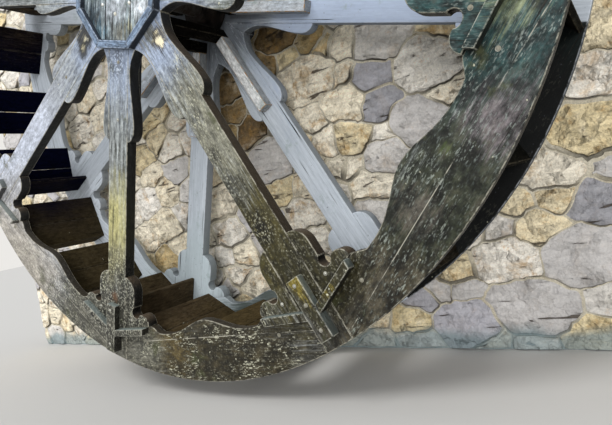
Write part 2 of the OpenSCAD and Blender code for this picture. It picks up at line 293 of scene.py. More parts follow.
def grain_of_hub_boards(tree):
    """Grain that runs along the seventh spoke, as the casing's boards lie."""
    place = add(tree, "TexCoord", out="Object")
    return add(tree, "VectorRotate", {
        "Vector": place, "Center": (0, 0, AXLE_Z), "Angle": BOARD_TURN}, rotation_type="Y_AXIS")


def blend_zones(tree, colour, zones, wander, streaks=None, scale=3.2):
    """Mixes further colours in round zones (x, z, inner and outer radius, colour, share).

    Their borders stray by wander, in metres, scale times in each metre, and by streaks.
    """
    place = add(tree, "TexCoord", out="Object")
    cloud = add(tree, "TexNoise", {"Vector": place, "Scale": scale, "Detail": 4.0}, "Color")
    drift = add(tree, "VectorMath", {0: cloud, 1: (0.5, 0.5, 0.5)}, operation="SUBTRACT")
    spread = add(tree, "VectorMath", {0: drift, 1: (wander * 2,) * 3}, operation="MULTIPLY")
    moved = add(tree, "VectorMath", {0: place, 1: spread}, operation="ADD")
    flat = add(tree, "VectorMath", {0: moved, 1: (1, 0, 1)}, operation="MULTIPLY")
    for x, z, inner, outer, tint, share in zones:
        reach = add(tree, "VectorMath", {0: flat, 1: (x, 0, z)}, operation="DISTANCE")
        if streaks:
            reach = add(tree, "Math", {0: reach, 1: streaks}, operation="ADD")
        amount = add(tree, "MapRange", {
            "Value": reach, "From Min": inner, "From Max": outer,
            "To Min": share, "To Max": 0.0}, interpolation_type="SMOOTHSTEP")
        colour = add(tree, "Mix", {0: amount, 6: colour, 7: tint}, data_type="RGBA")
    return colour


def drawn_out(tree, grain, along, across, detail=2.0, roughness=0.5):
    """Noise drawn out along the grain, with so many forms in a metre along and across it."""
    stretched = add(tree, "Mapping", {"Vector": grain, "Scale": (along, across, across)})
    return add(tree, "TexNoise", {
        "Vector": stretched, "Scale": 1.0, "Detail": detail, "Roughness": roughness})


def timber_patterns(tree, look, grain):
    """The patterns that a timber's layers share, by name."""
    place = add(tree, "TexCoord", out="Object")
    shares = blend_zones(tree, look["texture"], look["textures"], 0.08)
    moss, drops_and_glints, blotches = add(tree, "SeparateColor", {0: shares}).node.outputs
    # Year rings about 8 mm apart, and fibres, coarser than the real ones so that they show
    rings = drawn_out(tree, grain, 3.0, 60.0, 3.0, 0.55)
    fibres = drawn_out(tree, grain, 14.0, 320.0)
    clumps = add(tree, "TexNoise", {
        "Vector": place, "Scale": 7.0, "Detail": 4.0, "Roughness": 0.65})
    drift = add(tree, "TexNoise", {"Vector": place, "Scale": 60.0, "Detail": 2.0}, "Color")
    ragged = add(tree, "VectorMath", {0: drift, 1: (0.018,) * 3, 2: place},
                 operation="MULTIPLY_ADD")
    spots = add(tree, "TexVoronoi", {"Vector": ragged, "Scale": 88.0})
    lot = add(tree, "SeparateXYZ", {0: spots.node.outputs["Color"]})
    thick = add(tree, "MapRange", {
        "Value": clumps, "From Min": 0.36, "From Max": 0.56, "To Min": 0.5})
    return {
        "place": place, "drops_and_glints": drops_and_glints, "blotches": blotches, "fibres": fibres, "clumps": clumps,
        "wood": add(tree, "Math", {0: rings, 1: fibres}, operation="ADD"),
        "mottle": drawn_out(tree, grain, 30.0, 62.0, 5.0, 0.7),
        "blotch": drawn_out(tree, grain, 11.0, 18.0, 4.0, 0.6),
        "glint_streaks": drawn_out(tree, grain, 48.0, 145.0, 2.0, 0.6),
        "checks": add(tree, "ValToRGB", {0: drawn_out(tree, grain, 2.2, 75.0)},
                      stops=[(0.27, 1.0), (0.32, 0.0)]),
        "algae": add(tree, "TexNoise", {
            "Vector": place, "Scale": 6.5, "Detail": 7.0, "Roughness": 0.68}),
        # Granules of 10 to 16 mm and how thick they lie, and drops of 4 to 9 mm with a lot each,
        # which get a painted highlight
        "granules": add(tree, "TexVoronoi", {"Vector": ragged, "Scale": 72.0}),
        "thick": add(tree, "Math", {0: thick, 1: moss}, operation="MULTIPLY"),
        "spots": spots, "lot": lot}


def grey_oak(tree, look, on):
    """Weathered oak: grain in two tones, stains by place, and the weather's mottling."""
    colour = tinted(tree, look["dark"], on["wood"], 0.8, 1.2, 1.0, look["pale"])
    streaks = add(tree, "MapRange", {
        "Value": on["wood"], "From Min": 0.7, "From Max": 1.3, "To Min": -0.07, "To Max": 0.07})
    colour = blend_zones(tree, colour, look["zones"], look.get("wander", 0.25), streaks)
    colour = blend_zones(tree, colour, look.get("patches", []), 0.06, streaks, 7)
    # The grain and the mottling still darken the tinted wood; growth hides the grain
    plain = add(tree, "MapRange", {
        "Value": on["blotches"], "To Min": look.get("grain", 0.5), "To Max": 0.1})
    even = add(tree, "Mix", {0: plain, 2: 1.0, 3: on["wood"]})
    tone = add(tree, "Math", {0: on["mottle"], 1: 2.0, 2: even}, operation="MULTIPLY_ADD")
    low, high = look["contrast"]
    shade = add(tree, "MapRange", {
        "Value": tone, "From Min": 1.6, "From Max": 2.4, "To Min": low, "To Max": high})
    # Pale, dry wood shows less of it
    grey = add(tree, "RGBToBW", {0: colour})
    dry = add(tree, "MapRange", {
        "Value": grey, "From Min": 0.08, "From Max": 0.4, "To Max": look.get("dry", 0.7)})
    shade = add(tree, "Mix", {0: dry, 2: shade, 3: 1.0})
    return add(tree, "VectorMath", {0: colour, "Scale": shade}, operation="SCALE")


def growth(tree, colour, look, on):
    """Blotches a hand wide of dark growth and of paler wood, partly a painted wet sheen, with
    painted highlight streaks, drying checks and algae.
    """
    blotches = on["blotches"]
    # Blotches a hand wide: darker with growth, and paler, which is partly a painted wet sheen
    colour = brightened(tree, colour, on["blotch"], 0.42, 0.6, 0.35, 1.7, blotches)
    colour = tinted(tree, colour, on["blotch"], 0.54, 0.66, 0.2, "#6b6253", blotches)
    # Painted highlight streaks on the wet wood, in swarms inside the blotches
    strewn = add(tree, "MapRange", {"Value": blotches, "From Min": 0.45, "From Max": 1.0})
    herd = add(tree, "MapRange", {
        "Value": on["clumps"], "From Min": 0.42, "From Max": 0.58, "To Min": 0.15})
    strewn = add(tree, "Math", {0: strewn, 1: herd}, operation="MULTIPLY")
    colour = tinted(tree, colour, on["glint_streaks"], 0.55, 0.68, 0.5, "#93a09c", strewn)
    # Drying checks, long and thin
    colour = add(tree, "Mix", {0: on["checks"], 6: colour, 7: "#1d1a15"}, data_type="RGBA")
    tint, amount = look["growth"]
    cover = add(tree, "MapRange", {
        "Value": on["algae"], "From Min": 0.62 - amount * 0.3, "From Max": 0.74 - amount * 0.3,
        "To Max": 0.75}, interpolation_type="SMOOTHSTEP")
    return add(tree, "Mix", {0: cover, 6: colour, 7: tint}, data_type="RGBA")


def moss_and_painted_glints(tree, colour, look, on):
    """Moss with painted highlight and shade on its granules, painted glints of wet grit, drops with
    a painted highlight and dark pits; returns the colour and the drops' pattern.
    """
    spots, lot, thick = on["spots"], on["lot"], on["thick"]
    # Moss, with a painted highlight on its granules' backs and painted shade in the gaps
    colour = brightened(tree, colour, on["granules"], 0.15, 0.55, 1.9, 0.12, thick)
    colour = tinted(tree, colour, on["granules"], 0.36, 0.1, 0.75, "#b0b1a3", thick)
    # Painted glints of wet grit, in swarms
    swarm = add(tree, "MapRange", {"Value": on["clumps"], "From Min": 0.46, "From Max": 0.6})
    swarm = add(tree, "Math", {0: swarm, 1: on["drops_and_glints"]}, operation="MULTIPLY")
    colour = tinted(tree, colour, on["glint_streaks"], 0.57, 0.64, 0.8, "#d6d4bb", swarm)
    # Drops with a painted highlight, most of them where the swarms are
    crowd = add(tree, "MapRange", {
        "Value": on["clumps"], "From Min": 0.5, "From Max": 0.62, "To Min": -0.03, "To Max": -0.25})
    least = add(tree, "Math", {0: crowd, 1: on["drops_and_glints"], 2: 1.0}, operation="MULTIPLY_ADD")
    reach = add(tree, "MapRange", {
        "Value": lot, "From Min": least, "From Max": 1.0, "To Max": 0.5})
    gap = add(tree, "Math", {0: reach, 1: spots}, operation="SUBTRACT")
    drop_and_highlight = add(tree, "MapRange", {"Value": gap, "From Max": 0.2, "To Max": 0.85})
    colour = add(tree, "Mix", {0: drop_and_highlight, 6: colour, 7: "#d0ceb5"}, data_type="RGBA")
    if look.get("pits"):
        reach = add(tree, "MapRange", {
            "Value": lot, "From Max": look["pits"], "To Min": 0.34, "To Max": 0.0})
        gap = add(tree, "Math", {0: reach, 1: spots}, operation="SUBTRACT")
        colour = tinted(tree, colour, gap, 0.0, 0.15, 0.7, "#4a4d55")
    return colour, drop_and_highlight


def painted_sides_and_edges(tree, colour, look, on):
    """Painted shade on the faces in the wheel's thickness, dark where they look down and lighter
    where they look up, and worn edges tinted partly as a painted highlight.
    """
    normal = add(tree, "TexCoord", out="Normal")
    x, y, z = add(tree, "SeparateXYZ", {0: normal}).node.outputs
    turned = add(tree, "Math", {0: y}, operation="ABSOLUTE")
    # Painted shade: side faces turn dark where they look down and lighter where they look up, as
    # the light falls on them
    under, above, amount = look["side"]
    tint = tinted(tree, under, z, 0.05, 0.9, 1.0, above)
    colour = tinted(tree, colour, turned, 0.75, 0.35, amount, tint)
    # Worn edges tinted in the look's edge colour: partly wear, partly a painted highlight along the
    # arris
    tint, amount = look["edge"]
    worn = add(tree, "Attribute", out="Fac", attribute_name="worn")
    edge_light_share = add(tree, "MapRange", {
        "Value": on["mottle"], "From Min": 0.42, "From Max": 0.56, "To Max": amount})
    worn = add(tree, "Math", {0: worn, 1: edge_light_share}, operation="MULTIPLY")
    return add(tree, "Mix", {0: worn, 6: colour, 7: tint}, data_type="RGBA")


def felloe_seam(tree, colour, mottle):
    """The glued seam between a felloe's two boards, a thin line of pale lime."""
    places = grain_along_spokes(tree).node
    places.inputs["Shift"].default_value = BAY / 2
    odd = add(tree, "Math", {0: places.outputs["Bay"], 1: 2.0}, operation="MODULO")
    level = add(tree, "Math", {0: odd, 1: SEAM_STEP, 2: SEAM}, operation="MULTIPLY_ADD")
    away = add(tree, "Math", {0: places.outputs["Along"], 1: level}, operation="SUBTRACT")
    away = add(tree, "Math", {0: away}, operation="ABSOLUTE")
    line = add(tree, "MapRange", {
        "Value": away, "From Min": 0.0008, "From Max": 0.0022, "To Min": 1.0, "To Max": 0.0})
    place = add(tree, "TexCoord", out="Object")
    gone = add(tree, "TexNoise", {"Vector": place, "Scale": 3.0, "Detail": 3.0})
    gone = add(tree, "Math", {0: gone, 1: mottle}, operation="ADD")
    return tinted(tree, colour, gone, 0.9, 1.1, 0.9, "#b5b1a2", line)


def timber(name, look, grain_of):
    """Weathered oak that stands in spray: grey, matt where it is dry and half glossy where wet.

    grain_of returns the place that the grain follows. look holds:
    pale, dark: the two colours of the grain;
    zones, patches, marks: stains by place, from the widest to the smallest;
    wander: how far the zones' borders stray, in metres;
    texture, textures: the shares of moss, of drops and glints with a painted highlight, and of
    blotches, and zones with other shares;
    contrast: the least and the most light that the mottling leaves;
    grain, dry: how much the grain shows, and how far pale wood hides the mottling;
    pits: the share of dark pits;
    growth: the colour and share of the algae;
    side: the colours of the painted shade on the faces in the wheel's thickness that look down
    and up, and a share;
    edge: the colour of the worn edges, partly a painted highlight, and its share;
    wet, sheen: how smooth it is, and its specular level;
    lumps: how uneven it is, in metres;
    boards: whether a seam shows.
    """
    material, tree, shader = new_material(name)
    on = timber_patterns(tree, look, grain_of(tree))
    colour = grey_oak(tree, look, on)
    colour = growth(tree, colour, look, on)
    colour, drop_and_highlight = moss_and_painted_glints(tree, colour, look, on)
    splinters = add(tree, "MapRange", {
        "Value": on["fibres"], "From Min": 0.35, "From Max": 0.65,
        "To Min": -0.012, "To Max": 0.012})
    colour = blend_zones(tree, colour, look["marks"], 0.03, splinters, 26)
    colour = painted_sides_and_edges(tree, colour, look, on)
    if look.get("boards"):
        colour = felloe_seam(tree, colour, on["mottle"])
    gloss = add(tree, "MapRange", {
        "Value": on["algae"], "From Min": 0.35, "From Max": 0.65,
        "To Min": 0.92 - 0.65 * look["wet"], "To Max": 0.95 - 0.4 * look["wet"]})
    tree.links.new(colour, shader.inputs["Base Color"])
    tree.links.new(gloss, shader.inputs["Roughness"])
    shader.inputs["IOR"].default_value = 1.45
    shader.inputs["Specular IOR Level"].default_value = look["sheen"]
    # Relief in metres: granules and drops over the grain, with the checks cut in
    lumps = add(tree, "TexNoise", {"Vector": on["place"], "Scale": 28.0, "Detail": 2.0})
    height = add(tree, "MapRange", {
        "Value": on["granules"], "From Max": 0.7, "To Min": 0.004, "To Max": 0.0},
        interpolation_type="SMOOTHSTEP")
    height = add(tree, "Math", {0: height, 1: on["thick"]}, operation="MULTIPLY")
    for pattern, rise in ((drop_and_highlight, 0.0015), (on["wood"], 0.0014), (lumps, look["lumps"]),
                          (on["checks"], -0.002)):
        height = add(tree, "Math", {0: pattern, 1: rise, 2: height}, operation="MULTIPLY_ADD")
    set_relief(tree, shader, height)
    return material


# Stains are placed one by one, each with its middle's x and z, the radius inside which it is
# full and the one where it ends, its colour and its share. Distances are in metres.
# The wheel's front: silver beside the hub and on the left, yellow lichen on the seventh spoke,
# wet olive brown at the bottom and green algae on the right
NEAR_ZONES = [
    (-1.5, 1.5, 0.5, 1.2, "#bcc2d0", 0.95),
    (-1.75, 0.75, 0.3, 0.9, "#a39b8d", 0.9),
    (0.0, 2.1, 0.3, 0.75, "#9dabc4", 0.9),
    (0.45, 1.25, 0.15, 0.4, "#7d7b6a", 0.85),
    (-0.43, 0.93, 0.08, 0.38, "#b5ae74", 0.9),
    (-0.75, 0.25, 0.35, 0.8, "#605e53", 0.95),
    (0.15, 0.1, 0.35, 0.85, "#2b2512", 0.98),
    (1.15, 0.45, 0.3, 0.8, "#312c1f", 0.97),
    (0.62, 0.75, 0.2, 0.45, "#3e3815", 0.97),
    (0.8, 0.6, 0.1, 0.25, "#2a2713", 0.9),
    (1.5, 0.9, 0.25, 0.55, "#1f2317", 0.95),
    (1.8, 1.65, 0.45, 0.8, "#1a3636", 0.97),
]
# Patches of a hand's width: bare wood, lichen and a brown stain
NEAR_PATCHES = [
    (1.61, 1.02, 0.03, 0.14, "#5e5759", 0.85),
    (1.27, 0.78, 0.02, 0.12, "#4a453f", 0.7),
    (1.70, 1.38, 0.02, 0.13, "#70765a", 0.8),
    (-0.2, 0.28, 0.05, 0.2, "#50431f", 0.7),
    (-0.34, 0.26, 0.02, 0.1, "#6d6c60", 0.8),
    (0.13, 1.80, 0.02, 0.09, "#6b6545", 0.7),
]
# Shares of moss, of drops and glints with a painted highlight, and of blotches, by place on the
# wheel's front, in red, green and blue
NEAR_TEXTURES = [
    (0.33, 1.45, 0.2, 0.4, (0.2, 0.7, 0.4, 1), 1.0),
    (-0.14, 1.75, 0.03, 0.1, (0.8, 0.4, 0.1, 1), 1.0),
    (-1.35, 0.95, 0.35, 0.7, (0.25, 0.4, 0.3, 1), 1.0),
    (-1.05, 0.50, 0.15, 0.40, (0.6, 0.5, 0.5, 1), 1.0),
    (-0.57, 0.55, 0.2, 0.34, (1.0, 0.6, 0.1, 1), 1.0),
    (0.34, 1.14, 0.03, 0.09, (1.0, 0.2, 0.0, 1), 1.0),
    (0.42, 0.97, 0.05, 0.13, (1.0, 0.3, 0.0, 1), 1.0),
    (0.2, 0.15, 0.4, 0.85, (0.25, 1.0, 0.55, 1), 1.0),
    (1.35, 0.6, 0.45, 0.8, (0.1, 0.2, 1.0, 1), 1.0),
    (1.85, 1.5, 0.6, 0.9, (0.05, 0.1, 1.0, 1), 1.0),
    (0.75, 0.62, 0.2, 0.32, (0.35, 0.15, 0.1, 1), 1.0),
    (0.52, 0.80, 0.07, 0.15, (1.0, 0.5, 0.1, 1), 1.0),
]
# Small marks on the near side: torn wood in a dark ring that is partly painted shade, lichen, lime
# and rust
NEAR_MARKS = [
    (0.195, 1.77, 0.045, 0.070, "#3f3524", 0.8),
    (0.198, 1.755, 0.022, 0.034, "#efe4c4", 1.0),
    (0.190, 1.795, 0.008, 0.016, "#e6d9b4", 1.0),
    (0.190, 1.785, 0.002, 0.010, "#2b2318", 0.9),
    (-0.57, 0.57, 0.0, 0.04, "#6e4a2c", 0.6),
    (-0.35, 1.97, 0.05, 0.09, "#22221f", 0.95),
    (-0.39, 1.91, 0.03, 0.06, "#22221f", 0.9),
    (-0.355, 1.96, 0.0, 0.025, "#cfc8ab", 0.8),
    (-0.385, 1.92, 0.0, 0.02, "#b9b294", 0.8),
    (1.42, 0.97, 0.0, 0.03, "#5d7030", 0.35),
]
# The far side: shade beside the hub, bleached blue grey, and algae at the bottom
FAR_ZONES = [
    (0.0, 2.1, 0.3, 0.6, "#5c6168", 0.85),
    (1.0, 1.75, 0.4, 0.8, "#b4c4e0", 0.7),
    (-0.6, 0.2, 0.4, 0.9, "#b4c1c4", 0.7),
    (0.05, 0.25, 0.2, 0.42, "#39423a", 0.9),
    (0.7, 0.35, 0.1, 0.25, "#8c9b98", 0.6),
]
# The far rim is painted near black inside the wheel, on the right and at the bottom: painted shade,
# and wet wood
FAR_RIM_ZONES = FAR_ZONES + [
    (1.04, 0.40, 0.2, 0.36, "#0c0d0b", 1.0),
    (1.75, 1.15, 0.85, 1.0, "#080a0a", 1.0),
    (2.00, 1.80, 0.5, 0.7, "#0c1514", 1.0),
]
# The buckets: painted shade, nearly black, on the left, on the right and beside the hub, where they
# lie inside the wheel; brown at the bottom
BUCKET_ZONES = [
    (-1.8, 1.7, 0.6, 1.1, "#04061a", 1.0),
    (-1.2, 0.6, 0.4, 0.9, "#3d3524", 0.9),
    (-0.5, 0.2, 0.3, 0.7, "#4d4130", 0.9),
    (0.2, 0.2, 0.3, 0.7, "#50442c", 0.9),
    (1.6, 1.2, 0.6, 1.1, "#080807", 1.0),
    (0.0, 2.1, 0.5, 0.8, "#0d0b0a", 1.0),
]
# The hub's boards: slate blue on the left, bleached in the middle and on the right
BOARD_ZONES = [
    (-0.23, 2.02, 0.04, 0.11, "#2c3b45", 0.95),
    (-0.19, 1.92, 0.02, 0.06, "#4f6a78", 0.9),
    (-0.03, 2.00, 0.04, 0.09, "#b3b9c0", 0.9),
    (-0.05, 1.87, 0.02, 0.06, "#86857a", 0.9),
    (0.13, 1.95, 0.03, 0.09, "#c9cfd4", 0.9),
    (0.04, 1.87, 0.01, 0.04, "#9c9a7e", 0.8),
]
# In each look, side paints shade on the faces in the wheel's thickness, dark where they look down
# and lighter where they look up; edge tints the worn edges, partly as a painted highlight
NEAR_LOOK = {
    "pale": "#a1a6a6", "dark": "#4f524e", "zones": NEAR_ZONES, "patches": NEAR_PATCHES,
    "marks": NEAR_MARKS, "dry": 0.5,
    "texture": (0.15, 0.1, 0.1, 1), "textures": NEAR_TEXTURES,
    "contrast": (0.2, 1.9), "growth": ("#46492c", 0.2), "lumps": 0.006,
    "side": ("#050504", "#4b3f31", 0.97), "edge": ("#a9a595", 0.75), "wet": 0.8, "sheen": 0.35}
NEAR_FELLOE_LOOK = {**NEAR_LOOK, "boards": True, "side": ("#050504", "#2e281e", 0.95)}
NEAR_BATTEN_LOOK = {
    **NEAR_LOOK, "zones": NEAR_ZONES + [(0.71, 0.58, 0.05, 0.12, "#85762c", 0.85)],
    "side": ("#14120e", "#7f8985", 0.85), "edge": ("#b4b3a6", 0.65)}
FAR_LOOK = {
    "pale": "#cad1d9", "dark": "#b6bec6", "zones": FAR_ZONES, "marks": [],
    "texture": (0.0, 0.04, 0.0, 1), "textures": [],
    "contrast": (0.8, 1.12), "growth": ("#9aa9a8", 0.1), "lumps": 0.001, "pits": 0.13,
    "side": ("#5b6268", "#6f767c", 0.6), "edge": ("#dfe4ea", 0.3), "wet": 0.25, "sheen": 0.25}
FAR_FELLOE_LOOK = {**FAR_LOOK, "zones": FAR_RIM_ZONES, "growth": ("#9aa9a8", -1.0)}
# The far battens are painted near white round their middle: painted light where the near hub shades
# them
FAR_BATTEN_LOOK = {
    **FAR_LOOK, "zones": [(0.25, 1.55, 0.3, 0.6, "#eeeeec", 0.9)], "edge": ("#b0874f", 1.0),
    "contrast": (0.3, 1.5), "dry": 0.3}
BUCKET_LOOK = {
    "pale": "#43392c", "dark": "#1d1811", "zones": BUCKET_ZONES, "marks": [],
    "texture": (0.03, 0.05, 0.15, 1), "textures": [(-1.6, 1.6, 0.5, 1.0, (0, 0, 0, 1), 1.0)],
    "contrast": (0.5, 1.5), "growth": ("#262818", -1.0), "lumps": 0.002,
    "side": ("#15120e", "#15120e", 0.0), "edge": ("#5f594b", 0.4), "wet": 0.3, "sheen": 0.02}
# The hub's boards have their sides and worn edges painted near black: painted shade in the seams
# between the boards
BOARD_LOOK = {
    "pale": "#95a0a4", "dark": "#4b575c", "zones": BOARD_ZONES, "marks": [], "wander": 0.03,
    "dry": 0.1, "grain": 0.3,
    "texture": (0.05, 0.15, 0.5, 1), "textures": [],
    "contrast": (0.1, 1.9), "growth": ("#4b5a48", 0.1), "lumps": 0.002,
    "side": ("#1b1f22", "#1b1f22", 0.9), "edge": ("#14181c", 1.0), "wet": 0.4, "sheen": 0.4}
FRAME_LOOK = {
    "pale": "#8193ab", "dark": "#414e60", "zones": [(0.0, 2.1, 0.3, 0.5, "#74889f", 0.3)],
    "marks": [], "texture": (0.15, 0.2, 0.1, 1), "textures": [], "dry": 0.1,
    "contrast": (0.2, 1.8), "growth": ("#38404c", 0.1), "lumps": 0.003,
    "side": ("#12151c", "#39424c", 0.9), "edge": ("#c4cedd", 0.5), "wet": 0.4, "sheen": 0.4}


def stone_material():
    """Split sandstone and ironstone: dry, matt and grainy, each stone with its own tone."""
    material, tree, shader = new_material("rubble_sandstone")
    place = add(tree, "TexCoord", out="Object")
    tone = add(tree, "Attribute", out="Fac", attribute_name="tone")
    colour = add(tree, "ValToRGB", {0: tone}, stops=[
        (0.0, "#7c6545"), (0.13, "#b29a6c"), (0.26, "#dfcda2"), (0.4, "#ece1c9"),
        (0.55, "#e9e3d8"), (0.7, "#c2beba"), (0.85, "#bab8be"), (1.0, "#9c9b9f")])
    sandy = add(tree, "MapRange", {
        "Value": tone, "From Min": 0.5, "From Max": 0.72, "To Min": 1.0, "To Max": 0.15})
    # Each stone reads its own stretch of the patterns
    away = add(tree, "Math", {0: tone, 1: 40.0}, operation="MULTIPLY")
    lift = add(tree, "VectorMath", {0: place, 1: away}, operation="ADD")
    # Clouds of ochre, a finger's width and more, and rust that has leached out in spots
    clouds = add(tree, "TexNoise", {
        "Vector": lift, "Scale": 9.0, "Detail": 8.0, "Roughness": 0.7, "Distortion": 0.6})
    leach = add(tree, "TexNoise", {
        "Vector": lift, "Scale": 22.0, "Detail": 5.0, "Roughness": 0.7})
    colour = tinted(tree, colour, clouds, 0.53, 0.68, 0.75, "#ad8544", sandy)
    colour = tinted(tree, colour, clouds, 0.48, 0.3, 0.5, "#e2d9c4", sandy)
    colour = tinted(tree, colour, leach, 0.58, 0.7, 0.55, "#b88840", sandy)
    # Bedding streaks, split out flat, and ledges where a flake came off
    beds_at = add(tree, "Mapping", {
        "Vector": lift, "Rotation": (0, 0.35, 0), "Scale": (6.0, 6.0, 30.0)})
    beds = add(tree, "TexNoise", {
        "Vector": beds_at, "Scale": 1.0, "Detail": 6.0, "Distortion": 0.8})
    # Facets that the hammer left, 30 to 60 mm across, each at its own slant
    warp = add(tree, "TexNoise", {"Vector": lift, "Scale": 24.0, "Detail": 3.0}, "Color")
    warped = add(tree, "VectorMath", {0: warp, 1: (0.05,) * 3, 2: lift},
                 operation="MULTIPLY_ADD")
    facet = add(tree, "TexVoronoi", {"Vector": warped, "Scale": 22.0}).node.outputs
    inside = add(tree, "VectorMath", {0: warped, 1: facet["Position"]}, operation="SUBTRACT")
    slant = add(tree, "VectorMath", {0: facet["Color"], 1: (1.4,) * 3, 2: (-0.7,) * 3},
                operation="MULTIPLY_ADD")
    flakes = add(tree, "VectorMath", {0: inside, 1: slant}, operation="DOT_PRODUCT")
    grit = add(tree, "TexNoise", {
        "Vector": place, "Scale": 95.0, "Detail": 5.0, "Roughness": 0.75})
    mix = add(tree, "Math", {0: beds, 1: grit}, operation="ADD")
    # Slate and grey stone split smoother than sandstone
    depth = add(tree, "Math", {0: sandy, 1: 0.48, 2: 0.42}, operation="MULTIPLY_ADD")
    shade = add(tree, "MapRange", {
        "Value": mix, "From Min": 0.7, "From Max": 1.3, "To Min": -0.5, "To Max": 0.5})
    shade = add(tree, "Math", {0: shade, 1: depth, 2: 1.08}, operation="MULTIPLY_ADD")
    # Painted shade under the foot of each stone darkens it as well
    colour = toned_and_foot_shaded(tree, colour, shade)
    # Dark seams where the stone has cracked along its bed
    seam = add(tree, "MapRange", {
        "Value": beds, "From Min": 0.31, "From Max": 0.35, "To Min": 0.85, "To Max": 0.0})
    colour = add(tree, "Mix", {0: seam, 6: colour, 7: "#43372a"}, data_type="RGBA")
    tree.links.new(damp_foot(tree, colour), shader.inputs["Base Color"])
    shader.inputs["Roughness"].default_value = 0.88
    shader.inputs["IOR"].default_value = 1.5
    # Relief in metres: facets, then lumps of 15 mm, sand grains and the seams
    lumps = add(tree, "TexNoise", {"Vector": lift, "Scale": 34.0, "Detail": 2.0})
    sand = add(tree, "TexNoise", {"Vector": place, "Scale": 170.0, "Detail": 1.0})
    relief = add(tree, "Math", {0: lumps, 1: 0.011, 2: flakes}, operation="MULTIPLY_ADD")
    relief = add(tree, "Math", {0: relief, 1: depth}, operation="MULTIPLY")
    for pattern, rise in ((sand, 0.0016), (seam, -0.005)):
        relief = add(tree, "Math", {0: pattern, 1: rise, 2: relief}, operation="MULTIPLY_ADD")
    set_relief(tree, shader, relief)
    return material


def toned_and_foot_shaded(tree, colour, shade):
    """Scales a colour by a shade, and darkens it with painted shade under the foot of each stone.
    """
    foot_shade = add(tree, "Attribute", out="Fac", attribute_name="foot_shade")
    out_of_foot_shade = add(tree, "Math", {0: foot_shade, 1: -0.95, 2: 1.0}, operation="MULTIPLY_ADD")
    shade = add(tree, "Math", {0: shade, 1: out_of_foot_shade}, operation="MULTIPLY")
    return add(tree, "VectorMath", {0: colour, "Scale": shade}, operation="SCALE")


def damp_foot(tree, colour):
    """A blue-green tide of algae where the wall's foot is damp."""
    place = add(tree, "TexCoord", out="Object")
    rise = add(tree, "SeparateXYZ", {0: place}, "Z")
    edge = add(tree, "TexNoise", {"Vector": place, "Scale": 5.0, "Detail": 6.0})
    line = add(tree, "Math", {0: edge, 1: -0.16, 2: rise}, operation="MULTIPLY_ADD")
    share = add(tree, "MapRange", {
        "Value": line, "From Min": -0.02, "From Max": 0.05, "To Min": 0.8, "To Max": 0.0},
        interpolation_type="SMOOTHSTEP")
    return add(tree, "Mix", {0: share, 6: colour, 7: "#84969a"}, data_type="RGBA")


def mortar_material(colour):
    """Lime mortar: pale, sandy and matt, with painted shade where it lies deep under a stone's
    foot.
    """
    material, tree, shader = new_material("lime_mortar")
    place = add(tree, "TexCoord", out="Object")
    sand = add(tree, "TexNoise", {"Vector": place, "Scale": 150.0, "Detail": 1.0})
    clouds = add(tree, "TexNoise", {
        "Vector": place, "Scale": 7.0, "Detail": 6.0, "Roughness": 0.65})
    base = tinted(tree, "#c2b8a2", clouds, 0.35, 0.65, 1.0, (*colour, 1))
    shade = add(tree, "MapRange", {
        "Value": sand, "From Min": 0.3, "From Max": 0.7, "To Min": 0.8, "To Max": 1.12})
    # Painted shade where the mortar lies deep under a stone's foot
    base = toned_and_foot_shaded(tree, base, shade)
    tree.links.new(damp_foot(tree, base), shader.inputs["Base Color"])
    shader.inputs["Roughness"].default_value = 0.92
    lumps = add(tree, "TexNoise", {"Vector": place, "Scale": 40.0, "Detail": 2.0})
    grains = add(tree, "Math", {0: sand, 1: 0.0012}, operation="MULTIPLY")
    relief = add(tree, "Math", {0: lumps, 1: 0.008, 2: grains}, operation="MULTIPLY_ADD")
    set_relief(tree, shader, relief)
    return material


def iron_material(name, pale, rust, share):
    """Iron and steel, dark where bare and pale where galvanised, half matt, with clouds of rust."""
    material, tree, shader = new_material(name)
    place = add(tree, "TexCoord", out="Object")
    clouds = add(tree, "TexNoise", {
        "Vector": place, "Scale": 14.0, "Detail": 8.0, "Roughness": 0.7})
    cover = add(tree, "MapRange", {
        "Value": clouds, "From Min": 0.6 - share * 0.25, "From Max": 0.66 - share * 0.15})
    colour = add(tree, "Mix", {0: cover, 6: pale, 7: rust}, data_type="RGBA")
    bare = add(tree, "Math", {0: 1.0, 1: cover}, operation="SUBTRACT")
    rough = add(tree, "MapRange", {"Value": cover, "To Min": 0.42, "To Max": 0.9})
    for value, name in ((colour, "Base Color"), (bare, "Metallic"), (rough, "Roughness")):
        tree.links.new(value, shader.inputs[name])
    lumps = add(tree, "TexNoise", {"Vector": place, "Scale": 90.0, "Detail": 2.0})
    set_relief(tree, shader, lumps, 0.0015)
    return material


# Meshes


def link(name, mesh):
    """A new object at the origin that shows a mesh."""
    piece = bpy.data.objects.new(name, mesh)
    bpy.context.scene.collection.objects.link(piece)
    return piece


def set_material(piece, *materials):
    """Gives a piece these materials alone."""
    piece.data.materials.clear()
    for material in materials:
        piece.data.materials.append(material)


def smooth(mesh, matter):
    """Shades a mesh smooth, apart from the edges that are sharp in its kind of matter."""
    mesh.shade_smooth()
    mesh.set_sharp_from_angle(angle=math.radians(SHARP_TURNS[matter]))


def merge_boards(work, mitred):
    """Joins the loose faces of a node, but not those of two boards that share a mitre."""
    boards = {}
    for face in work.faces:
        # A point 1 mm inside the board that the face belongs to
        inside = face.calc_center_median() - face.normal * 0.001
        angle = math.atan2(inside.z - AXLE_Z, inside.x) - TURN
        board = round(angle / BAY) % SPOKES if mitred else 0
        boards.setdefault(board, {}).update(dict.fromkeys(face.verts))
    for corners in boards.values():
        bmesh.ops.remove_doubles(work, verts=list(corners), dist=MERGE_DISTANCE)


